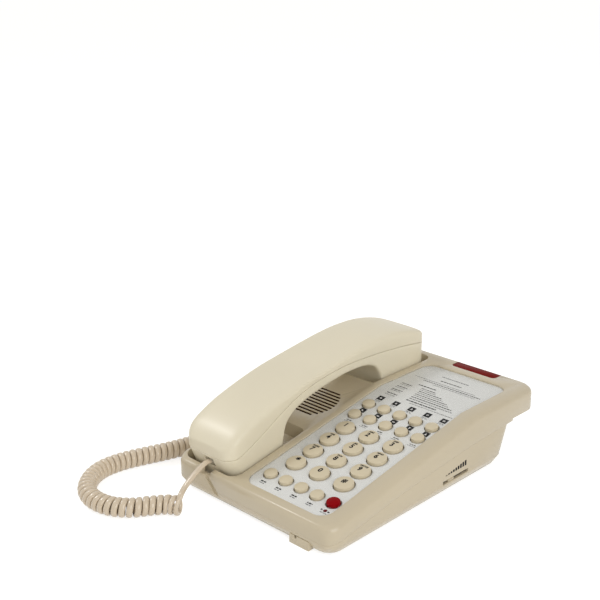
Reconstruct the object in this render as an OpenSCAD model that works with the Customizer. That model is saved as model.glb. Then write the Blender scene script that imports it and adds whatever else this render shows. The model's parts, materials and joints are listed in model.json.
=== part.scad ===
// Corded desk telephone with a curly handset cord, in millimetres.
// Origin: middle of the footprint, on the table. +Y points to the back, +Z up.

/* [Housing] */
// Width of the base
base_w = 140; // [136:1:150]
// Depth of the base
base_d = 216; // [212:1:226]
// Height of the level rear part of the top
rear_h = 46; // [45:0.5:52]
// Slope of the key field in degrees
slope = 10.16; // [9:0.1:11]
// Depth position of the line where the top turns level
bend_y = 34; // [33:0.5:36]
// Wall of the housings
wall = 2.5; // [2.2:0.1:2.8]
// Radius of the upright corners
corner_r = 9; // [8:0.5:12]
// Height of the soft edge round the top
edge_h = 4; // [3:0.5:5]
// Width of the soft edge on the right side
edge_right = 5; // [4:0.5:6]
// Width of the soft edge on the other sides
edge_w = 1.5; // [1:0.1:1.8]
// How far the lower housing draws in at its foot
foot_taper = 3; // [2:0.5:4]
// Reach of the overhang at the back
overhang = 29; // [27:0.5:31]
// Height of the underside of the overhang
overhang_z = 30.3; // [30:0.1:31]

/* [Cradle] */
// Width of the two wells
well_w = 50.5; // [49:0.5:51]
// Left wall beside the wells
well_side = 2.5; // [2.2:0.1:3]
// Depth of the wells under the top
well_depth = 12; // [11:0.25:12.5]
// Floor and walls of the wells
well_floor = 2; // [1.6:0.1:2.2]
// Length of the front well
mouth_well_l = 68.5; // [66:0.5:70]
// Length of the rear well
ear_well_l = 65.5; // [63:0.5:67]
// Plan radius of the wells' corners
well_r = 8; // [6:0.5:10]
// Depth of the deck between the wells
deck_depth = 2.2; // [1.8:0.1:2.4]
// Width of the notch that lets the cord out
notch_w = 9.5; // [8:0.5:10]
// Depth of that notch
notch_depth = 3.6; // [3:0.1:4]

/* [Grille] */
// Diameter of the round grille
grille_d = 40; // [36:1:42]
// Width of a slot
slot_w = 1.6; // [1.4:0.1:1.8]
// Distance from slot to slot
slot_pitch = 3.35; // [3.2:0.05:3.8]

/* [Faceplate] */
// Width of the faceplate
plate_w = 70; // [69:0.5:71]
// Length of the faceplate along the base
plate_l = 191; // [189:0.5:192]
// Thickness of the printed card
card_t = 0.4; // [0.3:0.05:0.5]
// Thickness of the clear cover
cover_t = 0.8; // [0.7:0.05:0.9]
// How far the cover lies under the rim
cover_sink = 0.4; // [0.3:0.05:0.5]

/* [Keys] */
// Diameter of a dial key
dial_d = 12.9; // [12:0.1:13.2]
// Diameter of a small key
small_d = 8.7; // [8:0.1:9]
// Gap round a key in its hole
key_gap = 0.4; // [0.3:0.05:0.5]
// Height of a key over the top of the housing
key_rise = 1.7; // [1.4:0.1:2]
// Rise of a key's domed crown
key_crown = 0.8; // [0.5:0.1:1]
// Travel of a key
key_travel = 1.8; // [1.5:0.1:1.8]
// Column pitch of the dial keys
dial_px = 20.5; // [20:0.1:21]
// Row pitch of the dial keys
dial_py = 16; // [15.6:0.1:16.3]
// Column pitch of the memory keys
memory_px = 13.6; // [13:0.1:14]
// Row pitch of the memory keys
memory_py = 15; // [14:0.1:15.5]
// Column pitch of the function keys
function_px = 13.4; // [13:0.1:13.8]

/* [Handset] */
// Width of the handset
handset_w = 46; // [44:0.5:46.5]
// Length of the handset in plan
handset_l = 202.5; // [200:0.5:203]
// Wall of the handset shells
handset_wall = 2.2; // [1.8:0.1:2.4]
// Plan radius of the handset's corners
handset_r = 12; // [10:0.5:13]
// Clearance between a seated piece and its seat
seat_gap = 0.3; // [0.2:0.05:0.35]

/* [Cord] */
// Thickness of the cord across its flat side
cord_t = 2.5; // [2.3:0.1:2.5]
// Width of the cord
cord_w = 3.1; // [2.9:0.1:3.2]
// Outer diameter of the curls
curl_d = 13; // [12:0.5:13.5]
// Number of full curls
curls = 44; // [40:1:45]

/* [Small parts] */
// Height of the rubber feet
foot_h = 2.2; // [2:0.1:2.5]
// Radius of a foot
foot_r = 6; // [5:0.5:7]
// Shaft radius of the housing screws
screw_r = 1.45; // [1.3:0.05:1.6]
// Travel of the hook plunger
hook_travel = 5; // [4:0.5:5.5]
// Travel of the volume slider
slider_travel = 18; // [14:0.5:19]

/* [Hidden] */
dial_names = ["1", "2", "3", "4", "5", "6", "7", "8", "9", "star", "0", "hash"];

$fn = 48;
ivory = "#d8ccb2";
ivory_light = "#e2dac4";
far = 300;

// ---------- shared heights and outlines ----------
half_w = base_w / 2;
half_d = base_d / 2;
rise = tan(slope);

// Height of the top of the base at depth y
function top_z(y) = rear_h - rise * max(0, bend_y - y);

// Height of the joint between the two housings at depth y
joint_mid = 24;
joint_rise = 0.0925;
joint_curve = 0.00042;
function joint_z(y) = joint_mid + joint_rise * y - joint_curve * y * y;

joint_gap = 0.1;
joint_ys = [-80, -60, -40, -20, 0, 20, bend_y - 0.6, bend_y, 55];

lower_back = half_d - overhang;
function upper_under(y) = y > lower_back ? overhang_z : joint_z(y);

// Right half of a rounded outline from front to back, then the left half back again, so that point i
// and point n-1-i lie at the same depth.
arc_steps = 4;
function outline(xl, xr, y0, y1, r, ys) = let (
    arc = [for (k = [0:arc_steps]) 90 * k / arc_steps],
    side = concat(
        [for (a = arc) [-r + r * sin(a), y0 + r - r * cos(a)]],
        [for (y = ys) [0, y]],
        [for (a = arc) [-r + r * cos(a), y1 - r + r * sin(a)]]),
    n = len(side))
    concat([for (p = side) [xr + p[0], p[1]]], [for (i = [n - 1:-1:0]) [xl - side[i][0], side[i][1]]]);

// Closed solid through a stack of rings with equal counts, closed by strips across its width
module loft(rings) {
    n = len(rings[0]);
    last = len(rings) - 1;
    walls = [for (k = [0:last - 1]) for (i = [0:n - 1]) let (
        j = (i + 1) % n, a = k * n + i, b = k * n + j, c = a + n, d = b + n)
        each [[a, c, d], [a, d, b]]];
    bottom = [for (i = [0:n / 2 - 2]) let (o = n - 1 - i)
        each [[i, i + 1, o - 1], [i, o - 1, o]]];
    top = [for (i = [0:n / 2 - 2]) let (o = n - 1 - i, t = last * n)
        each [[t + i, t + o - 1, t + i + 1], [t + i, t + o, t + o - 1]]];
    polyhedron([for (ring = rings) each ring], concat(walls, bottom, top));
}

// Side profile of depth and height pairs, drawn out across the width from x0 to x1
module side_prism(points, x0, x1) {
    translate([x0, 0, 0]) rotate([90, 0, 90]) linear_extrude(x1 - x0) polygon(points);
}

// Plan rectangle with round corners, drawn up from z0 to z1
module plan_prism(x0, x1, y0, y1, r, z0, z1) {
    translate([0, 0, z0]) linear_extrude(z1 - z0) {
        translate([x0 + r, y0]) square([x1 - x0 - 2 * r, y1 - y0]);
        translate([x0, y0 + r]) square([x1 - x0, y1 - y0 - 2 * r]);
        for (x = [x0 + r, x1 - r], y = [y0 + r, y1 - r]) translate([x, y]) circle(r);
    }
}

// Band between two depths that follows the top of the base, from n0 to n1 over it
module top_band(x0, x1, y0, y1, n0, n1) {
    ys = y0 < bend_y && y1 > bend_y ? [y0, bend_y, y1] : [y0, y1];
    last = len(ys) - 1;
    side_prism(concat([for (y = ys) [y, top_z(y) + n0]],
        [for (i = [last:-1:0]) [ys[i], top_z(ys[i]) + n1]]), x0, x1);
}

// Places its children on the sloped top at depth y, with their Z square to the slope
module on_slope(x, y) {
    translate([x, y, top_z(y)]) rotate([slope, 0, 0]) children();
}

// ---------- places that several pieces share ----------
well_x0 = -half_w + well_side;
well_x1 = well_x0 + well_w;
mouth_y0 = -103.5;
mouth_y1 = mouth_y0 + mouth_well_l;
ear_y0 = 35.4;
ear_y1 = ear_y0 + ear_well_l;
grille_x = -42.3;
grille_y = -5;

plate_x0 = -11.6;
plate_y0 = -101;
plate_r = 9;
plate_gap = 0.3;
plate_base = cover_sink + cover_t + card_t + 0.05;
panel_wall = 2;
ceiling = plate_base + panel_wall;

dial_x = 24.4;
dial_y = -68.6;
memory_x = 24.8;
memory_w = 64.7;
function_x = 25;
function_w = -17.5;

// Depth of a place that lies w up the slope from the lowest dial row
function slope_y(w) = dial_y + w * cos(slope);

dial_xy = [for (i = [0:11]) [dial_x + (i % 3 - 1) * dial_px, slope_y((3 - floor(i / 3)) * dial_py)]];
memory_xy = [for (i = [0:9]) [memory_x + (i % 5 - 2) * memory_px,
    slope_y(memory_w + (i < 5 ? memory_py : 0))]];
function_xy = [for (i = [0:4]) [function_x + (i - 2) * function_px, slope_y(function_w)]];

flange_t = 1.2;
flange_out = 0.9;
flange_top = -ceiling - seat_gap;
dome_h = 0.9;
mat_t = 1;
mat_top = flange_top - flange_t - key_travel - seat_gap - dome_h;
board_t = 1.6;
board_top = mat_top - mat_t;
board_posts = [for (x = [-0.5, 0.5], w = [0.5, 2.5]) [dial_x + x * dial_px, slope_y(w * dial_py)]];

slider_y0 = 0.4;
slider_y1 = 28;
slider_z = 10.1;
slider_h = 2.6;
knob_l = 5.5;
knob_rest = 4;

lamp_x0 = 2.5;
lamp_x1 = 41;
lamp_y0 = 97.3;
lamp_z0 = 37;
lamp_t = 2.4;

plunger_x = -42;
plunger_y = 58;
plunger_l = 14;
plunger_d = 8;
plunger_gap = 0.4;

line_x = 40;
line_z = 12.5;
line_w = 15;
line_h = 13;
line_y0 = 56;
line_y1 = 70;

cord_y = -12;
cord_z = 12;
cord_jack_w = 12;
cord_jack_h = 11;

foot_x = 54;
foot_front = -88;
foot_back = 47;

mic_x = 41;
mic_z = 5.6;
mic_hole_r = 1.1;
tab_x0 = 36;
tab_x1 = 52;

bosses = [[61, -99], [61, 58], [-62, -27], [-8, 60]];
boss_r = 3.6;
floor_z = foot_h + wall;

// ---------- housings ----------
// Outer body of the upper housing, with its soft top edge
module upper_body() {
    ys = concat(joint_ys, [lower_back, lower_back + 0.5, 92]);
    function ring(side, right, drop) = [for (p = outline(-half_w + side, half_w - right,
        -half_d + side, half_d - side, corner_r, ys)) [p[0], p[1], top_z(p[1]) - drop]];
    base = [for (p = outline(-half_w, half_w, -half_d, half_d, corner_r, ys))
        [p[0], p[1], upper_under(p[1])]];
    loft(concat([base], [for (a = [0:22.5:90])
        ring(edge_w * (1 - cos(a)), edge_right * (1 - cos(a)), edge_h * (1 - sin(a)))]));
}

// Hollow of the upper housing, open below except over the overhang
module upper_hollow() {
    ys = [-60, -20, bend_y, lower_back - wall, lower_back - wall + 0.5];
    function under(y) = y > lower_back - wall ? overhang_z + wall : -1;
    plan = outline(-half_w + wall, half_w - wall, -half_d + wall, half_d - wall, corner_r - wall, ys);
    difference() {
        loft([[for (p = plan) [p[0], p[1], under(p[1])]],
            [for (p = plan) [p[0], p[1], top_z(p[1]) - edge_h]],
            [for (p = outline(-half_w + wall + 1, half_w - edge_right - 0.5, -half_d + wall + 1,
                half_d - wall - 1, corner_r - wall, ys)) [p[0], p[1], top_z(p[1]) - ceiling]]]);
        tub(mouth_y0 - 6, mouth_y1 + well_floor, -well_depth - well_floor);
        tub(ear_y0 - well_floor, ear_y1 + well_floor, -well_depth - well_floor);
        tub(mouth_y1, ear_y0, -deck_depth - well_floor);
        for (b = bosses) translate([b[0], b[1], joint_z(b[1]) - 1]) cylinder(r = boss_r, h = far);
        for (p = board_posts) on_slope(p[0], p[1]) translate([0, 0, board_top + 0.05])
            cylinder(r = 1.5, h = 20);
    }
}

// Walls round a well: a block that follows the top, n under it
module tub(y0, y1, n) {
    top_band(-half_w, well_x1 + well_floor, y0, y1, n, 20);
}

// Space of one well
module well(y0, y1) {
    intersection() {
        plan_prism(well_x0, well_x1, y0, y1, well_r, -1, far);
        top_band(-half_w, well_x1 + 1, y0 - 1, y1 + 1, -well_depth, 40);
    }
}

module grille() {
    on_slope(grille_x, grille_y) {
        count = floor(grille_d / slot_pitch / 2);
        for (i = [-count + 0.5:count - 0.5]) {
            y = i * slot_pitch;
            half = sqrt(pow(grille_d / 2, 2) - y * y) - slot_w / 2;
            translate([0, y, -deck_depth - well_floor - 1]) linear_extrude(well_floor + 2) {
                square([2 * half, slot_w], center = true);
                for (x = [-half, half]) translate([x, 0]) circle(d = slot_w, $fn = 24);
            }
        }
    }
}

// Bores for every key, cut square to the slope
module key_bores(extra) {
    for (p = dial_xy) on_slope(p[0], p[1]) translate([0, 0, -12])
        cylinder(d = dial_d + 2 * (key_gap + extra), h = 20);
    for (p = concat(memory_xy, function_xy)) on_slope(p[0], p[1]) translate([0, 0, -12])
        cylinder(d = small_d + 2 * (key_gap + extra), h = 20);
}

module plate_plan(inset, z0 = -1) {
    plan_prism(plate_x0 + inset, plate_x0 + plate_w - inset, plate_y0 + inset,
        plate_y0 + plate_l - inset, plate_r - inset, z0, far);
}

// Notch in the front wall and the groove that runs down from it
module cord_notch() {
    translate([-40.2 - notch_w / 2, -half_d - 1, top_z(-half_d) - notch_depth])
        cube([notch_w, 8, 20]);
    translate([-39.5, -half_d, top_z(-half_d) - notch_depth + 1]) rotate([0, -44, 0])
        translate([-1.8, -1, -26]) cube([3.6, 2.4, 26]);
}

module lamp_plan(inset, z0) {
    plan_prism(lamp_x0 + inset, lamp_x1 - inset, lamp_y0 + inset, half_d + 10, 3.5, z0 + inset, far);
}

module upper_housing() color(ivory) difference() {
    upper_body();
    upper_hollow();
    well(mouth_y0, mouth_y1);
    well(ear_y0, ear_y1);
    top_band(well_x0, well_x1, mouth_y1 - well_r - 2, ear_y0 + well_r + 2, -deck_depth, 20);
    grille();
    intersection() {
        plate_plan(0);
        top_band(plate_x0 - 1, plate_x0 + plate_w + 1, plate_y0 - 1, plate_y0 + plate_l + 1,
            -plate_base, 20);
    }
    key_bores(0);
    cord_notch();
    lamp_plan(0, lamp_z0);
    translate([plunger_x, plunger_y, 0]) plan_prism(-plunger_l / 2 - plunger_gap,
        plunger_l / 2 + plunger_gap, -plunger_d / 2 - plunger_gap, plunger_d / 2 + plunger_gap,
        2, 20, far);
    for (b = bosses) translate([b[0], b[1], 0]) cylinder(r = screw_r + 0.05, h = joint_z(b[1]) + 9);
}

module lower_body(inset, lift) {
    ys = joint_ys;
    foot = foot_taper + inset;
    back_low = lower_back - 10.5;
    loft([
        [for (p = outline(-half_w + foot, half_w - foot, -half_d + foot, back_low - inset, corner_r, ys))
            [p[0], p[1], foot_h + lift]],
        [for (p = outline(-half_w + inset, half_w - inset, -half_d + inset, back_low + 2 - inset,
            corner_r, ys)) [p[0], p[1], foot_h + 5.5]],
        [for (p = outline(-half_w + inset, half_w - inset, -half_d + inset, lower_back - inset,
            corner_r, ys)) [p[0], p[1], joint_z(p[1]) + (lift > 0 ? 1 : -joint_gap)]]]);
}

module lower_housing() color(ivory) difference() {
    union() {
        difference() {
            lower_body(0, 0);
            lower_body(wall, wall);
        }
        for (b = bosses) translate([b[0], b[1], foot_h + 1])
            cylinder(r = boss_r, h = joint_z(b[1]) - foot_h - 2.1);
        translate([plunger_x - 11, plunger_y - 7, foot_h + 1])
            cube([22, 14, hook_seat - foot_h - 1]);
        translate([tab_x0, -half_d + 0.2, 0.3]) cube([tab_x1 - tab_x0, 4.5, 6]);
        translate([line_x - line_w / 2, line_y0 + 2, foot_h + 1])
            cube([line_w, 10, line_z - line_h / 2 - foot_h - 1]);
        translate([-half_w + 1, cord_y - cord_jack_w / 2, foot_h + 1])
            cube([12, cord_jack_w, cord_z - cord_jack_h / 2 - foot_h - 1]);
    }
    for (b = bosses) translate([b[0], b[1], 0]) {
        cylinder(r = screw_r + 0.25, h = far);
        cylinder(r = 3.2, h = foot_h + 5);
    }
    translate([half_w - wall - 1, slider_y0, slider_z - slider_h / 2])
        cube([10, slider_y1 - slider_y0, slider_h]);
    translate([line_x - line_w / 2 - 0.3, line_y0 + 3, line_z - line_h / 2])
        cube([line_w + 0.6, 40, line_h + 0.3]);
    translate([-half_w - 1, cord_y - cord_jack_w / 2 - 0.3, cord_z - cord_jack_h / 2])
        cube([wall + 4, cord_jack_w + 0.6, cord_jack_h + 0.3]);
    translate([mic_x, -half_d - 2, mic_z]) rotate([-90, 0, 0]) cylinder(r = mic_hole_r, h = 10);
    cord_notch();
}

// ---------- faceplate and keys ----------
module plate_sheet(low, high) {
    difference() {
        intersection() {
            plate_plan(plate_gap);
            top_band(plate_x0 - 1, plate_x0 + plate_w + 1, plate_y0 - 1, plate_y0 + plate_l + 1,
                -low, -high);
        }
        key_bores(0);
    }
}

module faceplate_card() color("white") plate_sheet(plate_base - 0.02, cover_sink + cover_t + 0.01);

module faceplate_cover() color("#eef2f4") difference() {
    plate_sheet(cover_sink + cover_t, cover_sink);
    for (y = [-70.5, 50]) on_pry(y);
}

// Finger slot in the left edge of the cover
module on_pry(y) {
    translate([plate_x0 - 1, y - 3, top_z(y) - 3]) cube([2.2, 6, 6]);
}

// One key: flange under the housing, straight body and domed crown
module key(d) {
    r = d / 2;
    crown_r = (r * r + key_crown * key_crown) / (2 * key_crown);
    rotate_extrude() polygon(concat(
        [[0, flange_top - flange_t], [r + flange_out, flange_top - flange_t],
            [r + flange_out, flange_top], [r, flange_top], [r, key_rise - key_crown - 0.3],
            [r - 0.3, key_rise - key_crown]],
        [for (k = [1:8]) let (x = (r - 0.3) * (1 - k / 8))
            [x, key_rise - crown_r + sqrt(crown_r * crown_r - x * x)]]));
}

module dial_key(i) color(ivory_light) on_slope(dial_xy[i][0], dial_xy[i][1]) key(dial_d);

module memory_key(i) color(ivory_light) on_slope(memory_xy[i][0], memory_xy[i][1]) key(small_d);

module function_key(i) color(ivory_light) on_slope(function_xy[i][0], function_xy[i][1]) key(small_d);

module message_key() color("#a81428") on_slope(function_xy[4][0], function_xy[4][1]) key(small_d);

mat_x0 = dial_x - 2 * memory_px - 8;
mat_x1 = dial_x + 2 * memory_px + 8;
mat_w0 = function_w - 8;
mat_w1 = memory_w + memory_py + 8;

module mat_plate(low, high, grow) {
    on_slope(0, dial_y) translate([mat_x0 - grow, mat_w0 - grow, low])
        cube([mat_x1 - mat_x0 + 2 * grow, mat_w1 - mat_w0 + 2 * grow, high - low]);
}

module key_membrane() color("#6f7478") {
    difference() {
        mat_plate(board_top, mat_top, 0);
        for (p = board_posts) on_slope(p[0], p[1]) translate([0, 0, board_top - 1])
            cylinder(r = 2, h = mat_t + 2);
    }
    for (p = concat(dial_xy, memory_xy, function_xy)) on_slope(p[0], p[1])
        translate([0, 0, mat_top - 0.1]) cylinder(r1 = 3, r2 = 2.2, h = dome_h + 0.1, $fn = 24);
}

module main_board() color("#2f6b3c") {
    mat_plate(board_top - board_t, board_top, 1);
    on_slope(0, dial_y) {
        translate([12, 20, board_top - board_t - 1.4]) cube([14, 14, 1.5]);
        translate([40, 42, board_top - board_t - 2.4]) cube([10, 6, 2.5]);
        for (w = [5, 52]) translate([mat_x0 + 12, w, board_top - board_t - 5])
            cylinder(r = 3, h = 5.1, $fn = 24);
    }
}

// ---------- lamp, speaker, switches and jacks ----------
module lamp_lens() color("#9c2a22") difference() {
    intersection() {
        upper_body();
        lamp_plan(0.15, lamp_z0);
    }
    plan_prism(lamp_x0 + lamp_t, lamp_x1 - lamp_t, lamp_y0 + lamp_t, half_d - lamp_t, 1.5, 0,
        rear_h - lamp_t);
}

module lamp_board() color("#2f6b3c") {
    z = overhang_z + wall + seat_gap;
    back = half_d - wall - seat_gap;
    translate([lamp_x0 + 3, back - 14, z]) cube([lamp_x1 - lamp_x0 - 6, 14, 1.6]);
    for (x = [0.25, 0.5, 0.75]) translate([lamp_x0 + x * (lamp_x1 - lamp_x0), back - 2.6, z + 1])
        cylinder(r = 2, h = 4, $fn = 24);
}

module base_speaker() color("#55585c") on_slope(grille_x, grille_y)
    translate([0, 0, -deck_depth - well_floor - seat_gap]) rotate([180, 0, 0]) rotate_extrude()
    polygon([[0, 1.6], [13, 0.6], [13, 0], [19.5, 0], [19.5, 3.5], [12, 8], [12, 12.5], [0, 12.5]]);

hook_seat = 13;
hook_body_h = 8;
plunger_top = rear_h - well_depth;

module hook_plunger() color("#b9ad92") translate([plunger_x, plunger_y, 0]) {
    z0 = hook_seat + hook_body_h + seat_gap;
    floor_under = plunger_top - well_floor;
    plan_prism(-plunger_l / 2, plunger_l / 2, -plunger_d / 2, plunger_d / 2, 1.6,
        floor_under - hook_travel - 1.8, plunger_top + 0.1);
    translate([-plunger_l / 2 - 2, -plunger_d / 2 - 1.5, floor_under - hook_travel - 1.9])
        cube([plunger_l + 4, plunger_d + 3, 1.4]);
    translate([0, 0, z0]) cylinder(r = 2, h = floor_under - hook_travel - 1 - z0);
}

module hook_switch() color("#33363a") translate([plunger_x - 10, plunger_y - 6, hook_seat])
    cube([20, 12, hook_body_h]);

module volume_slider() color(ivory) {
    y = slider_y0 + (slider_y1 - slider_y0 - slider_travel - knob_l) / 2 + knob_rest;
    translate([half_w - wall - 2, y, slider_z - slider_h / 2 + 0.3])
        cube([wall + 1.9, knob_l, slider_h - 0.6]);
    translate([half_w - wall - 2.9, y - 0.2, slider_z - slider_h / 2 - 1])
        cube([1.8, knob_l + 0.4, slider_h + 2]);
}

module volume_control() color("#33363a")
    translate([half_w - wall - 9.6, slider_y0 - 3, floor_z])
    cube([6.4, slider_y1 - slider_y0 + 6, slider_z + 3 - floor_z]);

// Modular socket: a block with a stepped mouth that opens towards +Y of its own frame
module socket(w, h, l, mouth_w, mouth_h) {
    difference() {
        translate([-w / 2, -l, -h / 2]) cube([w, l, h]);
        translate([-mouth_w / 2, -l + 2.5, -mouth_h / 2]) cube([mouth_w, l, mouth_h]);
        translate([-mouth_w / 4, -l + 6, -mouth_h / 2 - 1.6]) cube([mouth_w / 2, l, 2]);
    }
}

module line_jack() color("#e4dcc8") translate([line_x, line_y1, line_z])
    socket(line_w, line_h, line_y1 - line_y0, 11.7, 6.8);

cord_face = -half_w + 0.4;
plug_w = 7.6;
plug_h = 5.2;
plug_in = 9;
plug_out = 5.5;

module cord_jack() color("#e4dcc8") translate([cord_face, cord_y, cord_z]) rotate([0, 0, 90])
    socket(cord_jack_w - 0.2, cord_jack_h - 0.2, 13, plug_w + 0.4, plug_h + 0.4);

module base_microphone() color("#55585c")
    translate([mic_x, -half_d + foot_taper + wall + seat_gap, floor_z + 3.2]) rotate([-90, 0, 0])
    cylinder(r = 2.9, h = 5);

module rubber_feet() color("#3a3a3a")
    for (x = [-foot_x, foot_x], y = [foot_front, foot_back]) translate([x, y, 0]) {
        cylinder(r1 = foot_r - 0.6, r2 = foot_r, h = 0.6);
        translate([0, 0, 0.6]) cylinder(r = foot_r, h = foot_h - 0.6);
    }

module housing_screws() color("silver") for (b = bosses) translate([b[0], b[1], foot_h + 5]) {
    translate([0, 0, -2]) cylinder(r = 2.9, h = 2);
    cylinder(r = screw_r, h = joint_z(b[1]) - foot_h + 2);
}

// ---------- handset ----------
hs_x0 = well_x0 + 2.5;
hs_x1 = hs_x0 + handset_w;
hs_xc = (hs_x0 + hs_x1) / 2;
hs_y0 = -105.5;
hs_y1 = hs_y0 + handset_l;
cup_low = -well_depth + seat_gap;

// Depth and height of the joint between the shells, of the crown and of the underside
joint_line = [[-106, 31.2], [-97, 32.2], [-89, 35.6], [-81, 39.6], [-65, 48], [-48, 56.5], [-33, 61.6],
    [-17, 64.6], [2, 66.6], [27, 66.4], [50, 65], [67, 63.4], [88, 60.6], [98, 59]];
crown_line = [[-106, 37.5], [-100, 44.5], [-93, 50], [-81, 55.6], [-65, 60.2], [-48, 64], [-33, 66.8],
    [-17, 69.2], [2, 72.2], [20, 75.2], [36, 77], [50, 77.4], [67, 76], [82, 72.6], [90, 70], [98, 66]];
arch_line = [[-58, 17], [-57, 30], [-54.5, 41], [-46, 48.8], [-33, 53.6], [-16.5, 57.2], [4, 60.2],
    [20, 60.4], [29, 59.2], [38, 55.2], [43.5, 47], [45.5, 33]];
mouth_back = arch_line[0][0];
ear_front = arch_line[len(arch_line) - 1][0];

function cup_z(y) = top_z(y) + cup_low;
function under_z(y) = y <= mouth_back || y >= ear_front ? cup_z(y)
    : max(cup_z(y), lookup(y, arch_line));
function split_z(y) = lookup(y, joint_line);
function crown_z(y) = lookup(y, crown_line);
function hollow_z(y) = max(under_z(y - handset_wall), under_z(y), under_z(y + handset_wall))
    + handset_wall;

hs_ys = concat([-80, -75, -70, -64], [for (p = arch_line) p[0]], [52, 60, 68, 76]);

// Ring round the handset at fraction f between two heights, drawn in by inset
function hs_ring(inset, lean, low, high, f) =
    [for (p = outline(hs_x0 + inset, hs_x1 - inset, hs_y0 + inset + lean, hs_y1 - inset,
        handset_r, hs_ys)) let (a = low(p[1]), b = high(p[1])) [p[0], p[1], a + f * (b - a)]];

front_lean = 8.5;

module handset_bottom_body() {
    under = function (y) under_z(y);
    split = function (y) split_z(y);
    loft([hs_ring(2.2, front_lean, under, split, 0), hs_ring(0.7, front_lean - 0.6, under, split, 0.04),
        hs_ring(0, front_lean - 1.4, under, split, 0.12), hs_ring(0, 0, under, split, 1)]);
}

module handset_bottom_hollow() {
    inner = function (y) min(hollow_z(y), split_z(y) - 1);
    over = function (y) split_z(y) + 1;
    loft([hs_ring(handset_wall + 1, front_lean, inner, over, 0),
        hs_ring(handset_wall, 0.5, inner, over, 1)]);
}

hs_jack_x = -40;
hs_jack_z = 26;
hs_jack_face = -103.3;
hs_jack_back = -96.8;
hs_mic_y = -79;
hs_screws = [[-42, -64, 24], [-42, 90, 42]];

module handset_bottom() color(ivory) difference() {
    union() {
        difference() {
            handset_bottom_body();
            handset_bottom_hollow();
        }
        for (s = hs_screws) translate([s[0], s[1], cup_z(s[1]) + 1])
            cylinder(r = 4.2, h = split_z(s[1]) - cup_z(s[1]) - 3.5);
        for (y = [6, 28]) translate([hs_xc, y, under_z(y) + 0.5])
            cylinder(r = 2.5, h = weight_z - under_z(y) - 0.8);
        translate([hs_jack_x - 6, hs_jack_back, cup_z(hs_jack_back) + 2])
            cube([12, 12, hs_jack_z - 5 - cup_z(hs_jack_back) - 2]);
    }
    for (s = hs_screws) translate([s[0], s[1], 0]) {
        cylinder(r = 1.7, h = far);
        cylinder(r = 3, h = s[2]);
    }
    translate([hs_jack_x - 4.2, hs_y0 - 5, hs_jack_z - 3.1]) cube([8.4, 14.5, 6.2]);
    for (a = [0:60:300]) translate([hs_xc + 6 * cos(a), 68 + 6 * sin(a), 20])
        cylinder(r = 1.1, h = 25, $fn = 24);
    translate([hs_xc, 68, 20]) cylinder(r = 1.1, h = 25, $fn = 24);
    for (x = [-6, -2, 2, 6]) translate([hs_xc + x, hs_mic_y, 0]) cylinder(r = 0.9, h = 22, $fn = 24);
}

module handset_top() color(ivory_light) {
    split = function (y) split_z(y);
    crown = function (y) crown_z(y);
    rise_steps = [[0, 0], [0, 0.3], [0.6, 0.5], [1.8, 0.68], [3.8, 0.82], [7, 0.91], [10.5, 0.96]];
    difference() {
        loft(concat([for (s = rise_steps) hs_ring(s[0], 0, split, crown, s[1])],
            [[for (p = outline(hs_x0 + 15, hs_x1 - 15, hs_y0 + 11, hs_y1 - 11, handset_r - 4.5, hs_ys))
                [p[0], p[1], crown_z(p[1])]]]));
        handset_top_hollow();
        for (s = hs_screws) translate([s[0], s[1], 0]) cylinder(r = 1.45, h = split_z(s[1]) + 3);
    }
}

module handset_top_hollow() {
    under = function (y) split_z(y) - 1;
    over = function (y) max(split_z(y) + 0.2, crown_z(y) - handset_wall - 0.6);
    difference() {
        loft([hs_ring(handset_wall, 0.5, under, over, 0), hs_ring(handset_wall + 1, 0.5, under, over, 0.6),
            hs_ring(handset_wall + 6, 0.5, under, over, 1)]);
        for (s = hs_screws) translate([s[0], s[1], 0]) cylinder(r = 3.4, h = far);
    }
}

weight_z = 65;

module ear_speaker() color("#55585c") translate([hs_xc, 68, rear_h + cup_low + handset_wall + seat_gap])
    rotate_extrude() polygon([[0, 0], [15.5, 0], [15.5, 2.5], [9, 5.5], [9, 8.5], [0, 8.5]]);

module handset_microphone() color("#55585c") on_slope(hs_xc, hs_mic_y)
    translate([0, 0, cup_low + handset_wall + seat_gap + 0.3]) cylinder(r = 4.8, h = 5.5);

module handset_weight() color("#8a8d90") translate([hs_xc - 8, 0, weight_z]) cube([16, 34, 3.4]);

module handset_jack() color("#e4dcc8") translate([hs_jack_x, hs_jack_back, hs_jack_z])
    rotate([0, 0, 180]) socket(12, 10, 12.5, plug_w + 0.4, plug_h + 0.4);

module handset_screws() color("silver") for (s = hs_screws) translate([s[0], s[1], s[2] - 2]) {
    cylinder(r = 2.7, h = 2);
    cylinder(r = 1.4, h = split_z(s[1]) - s[2] + 4.5);
}

// ---------- cord ----------
// Plug whose lead leaves at its origin towards -Y and whose body runs to +Y
module plug(l) {
    translate([-plug_w / 2, 0, -plug_h / 2]) cube([plug_w, l, plug_h]);
}

module cord_handset_plug() color("#cfc8b6") translate([hs_jack_x, hs_jack_face, hs_jack_z]) plug(11);

module cord_base_plug() color("#cfc8b6") translate([cord_face - plug_out, cord_y, cord_z])
    rotate([0, 0, -90]) plug(plug_in + plug_out);

function unit(v) = v / norm(v);

// Directions along a route, and side directions carried along it without twist from a first one
function ways_of(route) = let (n = len(route))
    [for (i = [0:n - 1]) unit(route[min(i + 1, n - 1)] - route[max(i - 1, 0)])];
function square_to(a, way) = unit(a - way * (a * way));
function sides_of(ways, first) = [for (i = 0, a = square_to(first, ways[0]); i < len(ways);
    i = i + 1, a = i < len(ways) ? square_to(a, ways[i]) : a) a];

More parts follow.
